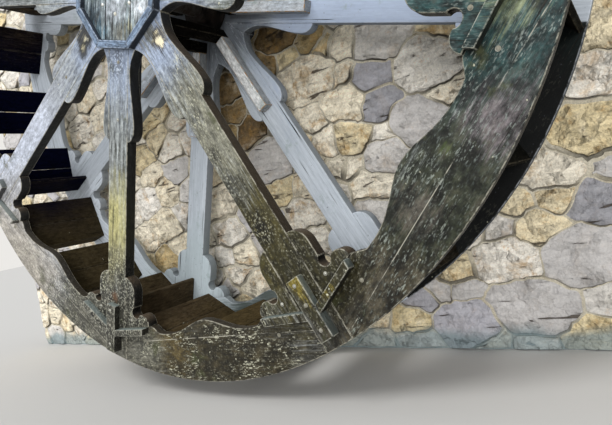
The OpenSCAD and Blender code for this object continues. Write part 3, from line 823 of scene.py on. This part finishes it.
def worn_timber(node, edge, material):
    """A copy of a timber of the frame with its sharp edges worn round."""
    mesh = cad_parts[node].data.copy()
    mesh.name = "worn_" + node
    work = bmesh.new()
    work.from_mesh(mesh)
    merge_boards(work, node.endswith(("hub_frame", "gussets")))
    bmesh.ops.dissolve_limit(work, angle_limit=math.radians(0.5),
                             verts=work.verts, edges=work.edges)
    sharp = [e for e in work.edges if e.calc_face_angle(0) > math.radians(WORN_TURN)]
    worn = work.faces.layers.float.new("worn")
    rounded = bmesh.ops.bevel(work, geom=sharp, offset=edge, segments=2, profile=0.6,
                              affect="EDGES", clamp_overlap=False)
    for face in rounded["faces"]:
        face[worn] = 1
    bmesh.ops.triangulate(work, faces=work.faces)
    work.to_mesh(mesh)
    work.free()
    smooth(mesh, "timber")
    piece = link("worn_" + node, mesh)
    set_material(piece, material)
    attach(piece, "wheel")
    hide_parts(node)


def clip(polygon, normal, limit):
    """The part of a convex polygon where its dot product with normal is under limit."""
    kept = []
    for here, after in zip(polygon, polygon[1:] + polygon[:1]):
        side_here = here.dot(normal) - limit
        side_after = after.dot(normal) - limit
        if side_here <= 0:
            kept.append(here)
        if (side_here < 0) != (side_after < 0):
            kept.append(here.lerp(after, side_here / (side_here - side_after)))
    return kept


# Kinds of stone, each with the range of its tone: brown at 0, then ochre, cream and grey,
# and slate at 1
STONE_TONES = {
    "ironstone": (0.0, 0.06), "brown sandstone": (0.12, 0.18), "ochre sandstone": (0.25, 0.33),
    "cream sandstone": (0.38, 0.46), "pale sandstone": (0.49, 0.58),
    "grey sandstone": (0.62, 0.73), "slate": (0.84, 1.0),
}
# Stones of the front that the spokes frame: middle x and z, and size, in centimetres
FRONT_STONES = {
    "ironstone": [
        (35, 187, 20), (-10, 167, 17), (-10, 152, 14), (1, 138, 17)],
    "brown sandstone": [
        (99, 171, 8), (55, 177, 13), (-17, 139, 9), (-101, 64, 17)],
    "ochre sandstone": [
        (62, 170, 12), (130, 158, 16), (66, 117, 18), (190, 135, 16), (178, 95, 22),
        (160, 68, 11), (145, 68, 12), (153, 56, 18), (110, 42, 18), (82, 17, 17), (168, 6, 17),
        (38, 172, 11), (13, 98, 16), (-110, 142, 21), (-82, 152, 11), (-93, 167, 15),
        (-124, 64, 14)],
    "cream sandstone": [
        (68, 150, 12), (74, 167, 12), (68, 137, 20), (77, 90, 19), (66, 101, 9), (122, 130, 16),
        (160, 81, 17), (124, 3, 11), (48, 156, 28), (44, 134, 13), (35, 95, 17), (54, 117, 12),
        (53, 103, 12), (-37, 98, 24), (-25, 62, 14), (-19, 41, 16), (-122, 129, 13),
        (-101, 128, 16), (-86, 113, 16), (-95, 91, 20), (-119, 85, 15), (-81, 72, 14)],
    "pale sandstone": [
        (117, 142, 28), (89, 115, 8), (183, 118, 16), (137, 42, 24), (140, 3, 12), (85, 4, 13),
        (28, 80, 20), (33, 65, 17), (50, 88, 13), (-36, 78, 19), (-42, 63, 13), (-33, 50, 16),
        (-72, 146, 15), (-110, 110, 22), (-76, 98, 12)],
    "grey sandstone": [
        (171, 41, 30), (143, 20, 29), (95, 163, 24), (107, 118, 24), (85, 102, 18), (76, 77, 17),
        (188, 79, 15), (137, 58, 11), (178, 22, 20), (115, 29, 11), (100, 31, 11), (10, 115, 24),
        (-45, 41, 10), (-73, 126, 12)],
    "slate": [
        (86, 147, 17), (90, 131, 17), (178, 64, 20), (111, 14, 24), (88, 27, 15)],
}
# How far stones stand out at least, as under the bearing's plate, and at most
LEAST_RISE = 0.001
MOST_RISE = 0.0295
# Bands of a stone's net that are mortar, from the middle of the joint inwards
MORTAR_RINGS = 2
# Room left round the bearing's plate
PLATE_MARGIN = 0.01
# Tries at a place for every stone that a face has room for
TRIES = 30
# Farther apart than this no stone bounds another
NEIGHBOURHOOD = 0.9


def scatter(width, height, spacing, stretch, chance, given):
    """Middles of stones over a face: those given, and random ones in the room that is left."""
    middles = [(Vector((x / stretch, y)), size) for x, y, size in given]
    for _ in range(int(TRIES * width * height / spacing(0, 0) ** 2)):
        spot = Vector((chance.uniform(0, width / stretch), chance.uniform(0, height)))
        room = spacing(spot.x * stretch, spot.y) * chance.uniform(0.65, 1.4)
        if all((spot - other).length > (room + other_room) / 2 for other, other_room in middles):
            middles.append((spot, room))
    return middles


def rubble_cells(middles, width, height, stretch):
    """Outlines of the stones' cells: a power diagram of their middles, stretched sideways."""
    corners = [Vector((0, 0)), Vector((width / stretch, 0)),
               Vector((width / stretch, height)), Vector((0, height))]
    cells = []
    for spot, room in middles:
        cell = corners
        for other, other_room in middles:
            away = other - spot
            if other is spot or away.length > NEIGHBOURHOOD or not cell:
                continue
            level = (other.dot(other) - spot.dot(spot) + 0.25 * (room ** 2 - other_room ** 2)) / 2
            cell = clip(cell, away, level)
        cells.append([Vector((p.x * stretch, p.y)) for p in cell])
    return cells


def wander(point, width, height):
    """Moves a point of the joints a little, and less beside the face's edges."""
    edge = min(point.x, width - point.x, point.y, height - point.y)
    calm = max(0.0, min(1.0, edge / 0.1))
    moved = []
    # noise_vector isn't used, because its offsets differ from one run to the next
    for place, level, most in ((point.x, 0, 0.034), (point.y, 20, 0.026)):
        slow = noise.noise(Vector((point.x * 6, point.y * 6, level + 3.7)))
        quick = noise.noise(Vector((point.x * 26, point.y * 26, level + 9.1)))
        fine = noise.noise(Vector((point.x * 55, point.y * 55, level + 5.2)))
        moved.append(place + calm * (most * slow + 0.015 * quick + 0.008 * fine))
    return Vector(moved)


def divided(cell, step):
    """The outline of a cell with a point about every step."""
    points = []
    for here, after in zip(cell, cell[1:] + cell[:1]):
        count = max(1, round((after - here).length / step))
        points += [here.lerp(after, i / count) for i in range(count)]
    return points


def drawn_in(points, inset, rounds):
    """An outline moved inwards, with its corners worn round."""
    count = len(points)
    moved = []
    for i, point in enumerate(points):
        run = points[(i + 1) % count] - points[i - 1]
        moved.append(point + Vector((-run.y, run.x)).normalized() * inset)
    for _ in range(rounds):
        moved = [(moved[i - 1] + 4 * moved[i] + moved[(i + 1) % count]) / 6 for i in range(count)]
    return moved


class Stone:
    """One stone of a face: where it lies, how far it stands out, and how it was hewn."""

    def __init__(self, cell, settings, chance, step, size):
        self.edge = [wander(p, *size) for p in divided(cell, step)]
        self.middle = sum(self.edge, Vector((0, 0))) / len(self.edge)
        self.reach = sum((p - self.middle).length for p in self.edge) / len(self.edge)
        self.joint = settings.joint * chance.choice((0.2, 0.35, 0.5, 0.7, 1.3))
        self.proud = settings.relief * chance.uniform(0.55, 1.0)
        # The foot of a stone stands out more than its head, as the mortar runs over the head
        self.tilt = Vector((chance.uniform(-0.05, 0.05), chance.uniform(-0.10, 0.0)))
        self.chips = []
        for _ in range(chance.randint(2, 5)):
            turn = chance.uniform(0, math.tau)
            self.chips.append((Vector((math.cos(turn), math.sin(turn))), chance.uniform(0.12, 0.5),
                               self.reach * chance.uniform(0.25, 0.8)))
        self.seed = chance.uniform(0, 50)

    def rise(self, p, share):
        """How far the stone stands out at a point, from 0 in the joint to its full share."""
        out = p - self.middle
        face = self.proud + out.dot(self.tilt)
        for direction, slope, start in self.chips:
            face -= max(0.0, out.dot(direction) - start) * slope
        face += 0.005 * noise.noise(Vector((p.x * 13, p.y * 13, self.seed)))
        face += 0.0035 * noise.noise(Vector((p.x * 37, p.y * 37, self.seed)))
        return max(0.004, face) * share

    def head(self, p):
        """How near a point is to the stone's head, 0 to 1, where the mortar lies flush."""
        lean = 0.9 * noise.noise(Vector((p.x * 7, p.y * 7, 2.2)))
        return max(0.0, min(1.0, 0.85 + 1.1 * (p.y - self.middle.y) / self.reach + lean))

    def mortar(self, p):
        """Height of the mortar at a point: deep under the stone's foot, flush over its head."""
        bed = 0.003 + 0.003 * noise.noise(Vector((p.x * 9, p.y * 9, 1.3)))
        return bed + max(0.0, 0.9 * self.rise(p, 1) - bed) * self.head(p)

    def rings(self):
        """Outlines from the joint to the middle: (points, share of height or None, share of painted
        shade).

        None stands for the mortar's own height.
        """
        groove = drawn_in(self.edge, self.joint, 1)
        face = drawn_in(self.edge, self.joint + 0.004, 1)
        inner = [[self.middle.lerp(p, share) for p in face] for share in (0.84, 0.6, 0.34)]
        # The third value of each ring is its share of painted shade, most in the joint
        return [(self.edge, 0, 1), (self.edge, None, 0.6), (groove, None, 0.8), (groove, 0.6, 1),
                (face, 1, 0.15)] + [(ring, 1, 0) for ring in inner]

    def foot_shade(self, p):
        """How much painted shade an edge gets: hardly at the stone's head, most at its foot, where
        its shadow falls.
        """
        return max(0.0, 1.0 - 1.15 * self.head(p)) ** 0.8

    def points(self):
        """Every point of the rings, then the middle, each with its height and its share of painted
        shade.
        """
        for ring, share, shade_share in self.rings() + [([self.middle], 1, 0)]:
            for p in ring:
                rise = self.mortar(p) if share is None else self.rise(p, share)
                if share:
                    rise = max(rise, self.mortar(p))
                yield p, min(max(rise, LEAST_RISE), MOST_RISE), shade_share * self.foot_shade(p)

    def faces(self, first):
        """Faces between the rings and a fan round the middle, each with its material's slot."""
        count = len(self.edge)
        last = first + (len(self.rings()) - 1) * count
        for ring in range(first, last, count):
            for i in range(count):
                a, b = ring + i, ring + (i + 1) % count
                yield (a, b, b + count, a + count), int(ring >= first + MORTAR_RINGS * count)
        for i in range(count):
            yield (last + i, last + (i + 1) % count, last + count), 1


def rubble_face(name, origin, across, up, size, seed, step, given, clear, settings, materials):
    """One face of rubble masonry: a net of mortar with a raised, rough stone in each cell.

    given holds the stones whose place is known. Stones lie flat inside the squares in clear,
    each given by its middle and half its width. A long face is made in two pieces.
    """
    chance = random.Random(seed)
    width, height = size
    outward = across.cross(up)
    stretch = settings.stretch

    def spacing(x, y):
        place = origin + across * x + up * y
        return settings.course * (1.25 if place.x > 1 and place.z < 1.5 else 1.0)

    middles = scatter(width, height, spacing, stretch, chance, [stone[:3] for stone in given])
    parts = [([], [], [], [], []) for _ in range(2 if width > 3 else 1)]
    for number, cell in enumerate(rubble_cells(middles, width, height, stretch)):
        if len(cell) < 3:
            continue
        # The stones that the spokes frame get a finer outline
        stone = Stone(cell, settings, chance, 0.6 * step if number < len(given) else step, size)
        place = origin + across * stone.middle.x + up * stone.middle.y
        tone = tone_of_stone(place, chance, bool(given))
        if number < len(given):
            tone = chance.uniform(*STONE_TONES[given[number][3]])
        right = len(parts) > 1 and stone.middle.x > width / 2
        vertices, faces, slots, tones, foot_shade = parts[int(right)]
        for face, slot in stone.faces(len(vertices)):
            faces.append(face)
            slots.append(slot)
        # Each point also carries its share of painted shade under the stone's foot
        for p, rise, shade_share in stone.points():
            if any(max(abs(p.x - x), abs(p.y - y)) < half for x, y, half in clear):
                rise = LEAST_RISE
            spot = origin + across * p.x + up * p.y + outward * rise
            spot.z = max(spot.z, LEAST_RISE)
            vertices.append(spot)
            tones.append(tone)
            foot_shade.append(shade_share)
    for number, part in enumerate(parts, 1):
        rubble_piece(f"{name}_{number}", part, materials)


def rubble_piece(name, part, materials):
    """The piece that a face's vertices, faces, slots, tones and painted foot shade make."""
    vertices, faces, slots, tones, foot_shade = part
    mesh = bpy.data.meshes.new(name)
    mesh.from_pydata(vertices, [], faces)
    piece = link(name, mesh)
    set_material(piece, *materials)
    mesh.attributes.new("tone", "FLOAT", "POINT").data.foreach_set("value", tones)
    mesh.attributes.new("foot_shade", "FLOAT", "POINT").data.foreach_set("value", foot_shade)
    mesh.polygons.foreach_set("material_index", slots)
    smooth(mesh, "stone")
    mesh.update()
    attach(piece, "mill_wall")


def tone_of_stone(place, chance, front):
    """A stone's tone: on the front darker brown behind the hub, partly painted shade of the hub,
    and grey at the lower right, else sand.
    """
    behind_hub = Vector((place.x - 0.1, place.z - 1.8)).length < 0.55
    # Behind the hub the stones are made darker brown: partly their own colour, partly painted shade
    # of the hub
    if front and behind_hub:
        return chance.triangular(0.0, 0.5, 0.1)
    if front and place.x > 0.8 and place.z < 1.1:
        return chance.triangular(0.2, 1.0, 0.75)
    return chance.triangular(0.1, 0.95, 0.45)


def studs_tree():
    """Geometry Nodes: a round iron head with a washer on every point."""
    tree = bpy.data.node_groups.new("studs", "GeometryNodeTree")
    for name, kind in (("Geometry", "Geometry"), ("Head radius", "Float"), ("Head height", "Float"),
                       ("Washer radius", "Float"), ("Material", "Material")):
        tree.interface.new_socket(name, in_out="INPUT", socket_type="NodeSocket" + kind)
    tree.interface.new_socket("Geometry", in_out="OUTPUT", socket_type="NodeSocketGeometry")
    given = add(tree, "NodeGroupInput").node.outputs
    dome = add(tree, "GeometryNodeMeshUVSphere", {"Segments": 14, "Rings": 8, "Radius": 1.0})
    scale = add(tree, "CombineXYZ", {
        "X": given["Head radius"], "Y": given["Head height"], "Z": given["Head radius"]})
    head = add(tree, "GeometryNodeTransform", {"Geometry": dome, "Scale": scale})
    plate = add(tree, "GeometryNodeMeshCylinder", {
        "Vertices": 20, "Radius": given["Washer radius"], "Depth": 0.003})
    washer = add(tree, "GeometryNodeTransform", {
        "Geometry": plate, "Rotation": (math.pi / 2, 0, 0)})
    stud = add(tree, "GeometryNodeJoinGeometry")
    tree.links.new(head, stud.node.inputs[0])
    tree.links.new(washer, stud.node.inputs[0])
    placed = add(tree, "GeometryNodeInstanceOnPoints", {
        "Points": given["Geometry"], "Instance": stud})
    real = add(tree, "GeometryNodeRealizeInstances", {"Geometry": placed})
    done = add(tree, "GeometryNodeSetMaterial", {"Geometry": real, "Material": given["Material"]})
    add(tree, "NodeGroupOutput", {"Geometry": done})


def grown(name, points, tree, values):
    """The plain mesh that a Geometry Nodes tree makes from points."""
    mesh = bpy.data.meshes.new(name)
    mesh.from_pydata(points, [], [])
    maker = link(name + "_maker", mesh)
    modifier = maker.modifiers.new("nodes", "NODES")
    modifier.node_group = tree
    for item in tree.interface.items_tree:
        if item.in_out == "INPUT" and item.name in values:
            modifier[item.identifier] = values[item.name]
    graph = bpy.context.evaluated_depsgraph_get()
    made = bpy.data.meshes.new_from_object(maker.evaluated_get(graph))
    bpy.data.objects.remove(maker)
    made.name = name
    smooth(made, "iron")
    return link(name, made)


def on_the_wheel(along, across, depth, angle):
    """The point at distances along and across a line that leaves the axle at an angle."""
    x = along * math.cos(angle) - across * math.sin(angle)
    z = along * math.sin(angle) + across * math.cos(angle)
    return x, depth, AXLE_Z + z


def drive(name, points, radius, washer, material):
    """Drives a bolt or nail at each point; its head is a little flatter than a ball."""
    heads = grown(name, points, bpy.data.node_groups["studs"], {
        "Head radius": radius, "Head height": radius * 0.8, "Washer radius": washer,
        "Material": material})
    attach(heads, "wheel")


# Operators


class MILL_OT_wall(bpy.types.Operator):
    """Builds the rubble masonry on every face of the wall"""
    bl_idname = "mill.wall"
    bl_label = "Rubble wall"

    def execute(self, context):
        settings = context.scene.mill_wall
        materials = (mortar_material(settings.mortar_colour), stone_material())
        set_material(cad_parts["wall"], materials[0])
        low, high = WALL_LOW, WALL_HIGH
        long, thick, tall = high - low
        x, y, z = Vector((1, 0, 0)), Vector((0, 1, 0)), Vector((0, 0, 1))
        front = [(cx / 100 - low.x, cz / 100, cm / 100, kind)
                 for kind, stones in FRONT_STONES.items() for cx, cz, cm in stones]
        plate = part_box("wall_bearing")
        clear = [(long / 2, AXLE_Z - low.z, (plate[1][0] - plate[0][0]) / 2 + PLATE_MARGIN)]
        sides = [
            ("rubble_front", low, x, z, (long, tall), 11, 0.034, front, clear),
            ("rubble_back", Vector((high.x, high.y, low.z)), -x, z, (long, tall), 23, 0.05,
             [], clear),
            ("rubble_right_end", Vector((high.x, low.y, low.z)), y, z, (thick, tall), 31, 0.04,
             [], []),
            ("rubble_left_end", Vector((low.x, high.y, low.z)), -y, z, (thick, tall), 47, 0.04,
             [], []),
            ("rubble_top", Vector((low.x, low.y, high.z)), x, y, (long, thick), 53, 0.04, [], []),
        ]
        for side in sides:
            rubble_face(*side, settings, materials)
        return {"FINISHED"}


class MILL_OT_timber(bpy.types.Operator):
    """Dresses every timber of the wheel in worn, weathered oak"""
    bl_idname = "mill.timber"
    bl_label = "Wheel timbers"

    def execute(self, context):
        wear = context.scene.mill_wheel.wear
        wheel_coordinates()
        near_spoke = timber("near_oak_along_spokes", NEAR_LOOK, grain_along_spokes)
        near_batten = timber("near_oak_battens", NEAR_BATTEN_LOOK, grain_along_spokes)
        near_felloe = timber("near_oak_along_felloes", NEAR_FELLOE_LOOK, grain_along_felloes)
        far_spoke = timber("far_oak_along_spokes", FAR_LOOK, grain_along_spokes)
        far_batten = timber("far_oak_battens", FAR_BATTEN_LOOK, grain_along_spokes)
        far_felloe = timber("far_oak_along_felloes", FAR_FELLOE_LOOK, grain_along_felloes)
        across = timber("bucket_oak", BUCKET_LOOK, grain_across_wheel)
        boards = timber("hub_board_oak", BOARD_LOOK, grain_of_hub_boards)
        casing = timber("hub_frame_oak", FRAME_LOOK, grain_round_the_hub)
        pieces = {f"near_spoke_{k}": near_spoke for k in range(1, SPOKES + 1)}
        pieces.update({f"far_spoke_{k}": far_spoke for k in range(1, SPOKES + 1)})
        pieces.update({
            "near_gussets": near_spoke, "near_feet": near_spoke, "near_spoke_battens": near_spoke,
            "near_foot_battens": near_batten, "near_joint_battens": near_batten,
            "near_rim": near_felloe, "far_gussets": far_spoke, "far_feet": far_spoke,
            "far_spoke_battens": far_batten, "far_foot_battens": far_spoke,
            "far_joint_battens": far_felloe, "far_rim": far_felloe, "hub_spacers": across,
            "near_hub_frame": casing, "far_hub_frame": casing, "near_hub_boards": boards,
            "far_hub_boards": boards, "bucket_back_boards": across, "bucket_elbow_boards": across,
            "bucket_floor_boards": across, "cross_planks": across})
        for node, material in pieces.items():
            worn_timber(node, wear, material)
        return {"FINISHED"}


class MILL_OT_ironwork(bpy.types.Operator):
    """Finishes the shaft, flanges, collars and bearings, and drives the bolts and nails"""
    bl_idname = "mill.ironwork"
    bl_label = "Ironwork"

    def execute(self, context):
        wheel = context.scene.mill_wheel
        steel = iron_material("shaft_steel", "#5b5853", "#2c2119", 0.5)
        iron = iron_material("cast_iron", "#2c2a28", "#2a1f18", 0.6)
        bolt_iron = iron_material("galvanised_bolts", "#b9b9b1", "#8a8677", 0.75)
        nail_iron = iron_material("galvanised_nails", "#e6e6e0", "#d5d2c4", 0.6)
        set_material(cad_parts["shaft"], steel)
        for node in ("shaft_collars", "near_flange", "far_flange", "wall_bearing", "back_bearing"):
            set_material(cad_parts[node], iron)
        studs_tree()
        for side, faces in OUTER_FACES.items():
            points = [on_the_wheel(along, across, faces[timber], TURN + BAY * k)
                      for along, across, timber in BOLTS for k in range(SPOKES)]
            drive(f"{side}_bolts", points, wheel.bolt, wheel.bolt * 1.3, bolt_iron)
        points = [on_the_wheel(along, across, HUB_FRONT, BOARD_TURN) for along, across in HUB_NAILS]
        drive("hub_nails", points, wheel.nail, wheel.nail * 0.9, nail_iron)
        return {"FINISHED"}


class MILL_OT_stage(bpy.types.Operator):
    """Sets up the floor, the soft light and the camera"""
    bl_idname = "mill.stage"
    bl_label = "Stage"

    def execute(self, context):
        scene = context.scene
        settings = scene.mill_stage
        scene.view_settings.view_transform = "Standard"
        self.floor(settings)
        self.world(scene, settings)
        self.lamp("main_lamp", settings.sun, 22, 36, -14)
        self.lamp("side_lamp", settings.side, 30, 81, 27)
        self.camera(scene)
        return {"FINISHED"}

    def lamp(self, name, strength, spread, down, aside):
        """A soft sun: its spread, its angle from overhead and its turn to the right, in degrees."""
        sun = bpy.data.lights.new(name, "SUN")
        sun.energy = strength
        sun.angle = math.radians(spread)
        lamp = bpy.data.objects.new(name, sun)
        lamp.rotation_euler = Euler((math.radians(down), 0, math.radians(aside)))
        bpy.context.scene.collection.objects.link(lamp)

    def floor(self, settings):
        """A plain studio floor: pale, matt paint."""
        mesh = bpy.data.meshes.new("floor")
        reach = 40
        corners = [(x * reach, y * reach, 0) for x, y in ((-1, -1), (1, -1), (1, 1), (-1, 1))]
        mesh.from_pydata(corners, [], [(0, 1, 2, 3)])
        floor = link("floor", mesh)
        material, tree, shader = new_material("studio_floor")
        shader.inputs["Base Color"].default_value = (*settings.floor, 1)
        shader.inputs["Roughness"].default_value = 0.9
        mesh.materials.append(material)
        floor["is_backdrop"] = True

    def world(self, scene, settings):
        """Even light from all round, behind which the camera sees a plain backdrop."""
        world = bpy.data.worlds.new("studio")
        world.use_nodes = True
        tree = world.node_tree
        tree.nodes.clear()
        rays = add(tree, "LightPath").node.outputs
        seen = rays["Is Camera Ray"]
        for ray in ("Is Glossy Ray", "Is Transmission Ray"):
            seen = add(tree, "Math", {0: seen, 1: rays[ray]}, operation="MAXIMUM")
        fill = add(tree, "Background", {
            "Color": (0.93, 0.96, 1.0, 1), "Strength": settings.sky})
        back = add(tree, "Background", {
            "Color": (*settings.background, 1), "Strength": 1.0})
        both = add(tree, "MixShader", {0: seen, 1: fill, 2: back})
        add(tree, "OutputWorld", {"Surface": both})
        scene.world = world

    def camera(self, scene):
        """The photograph's camera."""
        lens = bpy.data.cameras.new("camera")
        lens.lens = FOCAL_LENGTH * lens.sensor_width / IMAGE_WIDTH
        camera = bpy.data.objects.new("camera", lens)
        camera.matrix_world = Matrix.Translation(CAMERA_PLACE)
        for angle, axis in ((CAMERA_YAW, "Z"), (90 - CAMERA_PITCH, "X"), (CAMERA_ROLL, "Z")):
            camera.matrix_world @= Matrix.Rotation(math.radians(angle), 4, axis)
        scene.collection.objects.link(camera)
        scene.camera = camera


class MILL_PT_panel(bpy.types.Panel):
    """Lists the sizes, the colours and the operators"""
    bl_label = "Mill Wheel"
    bl_idname = "MILL_PT_panel"
    bl_space_type = "VIEW_3D"
    bl_region_type = "UI"
    bl_category = "Mill Wheel"

    def draw(self, context):
        for group in ("mill_wall", "mill_wheel", "mill_stage"):
            settings = getattr(context.scene, group)
            for name in settings.__annotations__:
                self.layout.prop(settings, name)
        for operator in OPERATORS:
            self.layout.operator(operator.bl_idname)


OPERATORS = (MILL_OT_wall, MILL_OT_timber, MILL_OT_ironwork, MILL_OT_stage)
SETTINGS = {"mill_wall": WallSettings, "mill_wheel": WheelSettings, "mill_stage": StageSettings}


def register():
    """Registers the settings, the operators and the panel."""
    for kind in (*SETTINGS.values(), *OPERATORS, MILL_PT_panel):
        bpy.utils.register_class(kind)
    for name, kind in SETTINGS.items():
        setattr(bpy.types.Scene, name, PointerProperty(type=kind))


def unregister():
    """Takes them all away again."""
    for name in SETTINGS:
        delattr(bpy.types.Scene, name)
    for kind in (MILL_PT_panel, *reversed(OPERATORS), *SETTINGS.values()):
        bpy.utils.unregister_class(kind)


def main():
    """Builds everything in order."""
    register()
    bpy.ops.mill.wall()
    bpy.ops.mill.timber()
    bpy.ops.mill.ironwork()
    bpy.ops.mill.stage()
    sizes = {"cad": CAD_BOX, "visual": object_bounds()}
    plain = {name: [list(map(float, corner)) for corner in box] for name, box in sizes.items()}


if __name__ == "__main__":
    main()
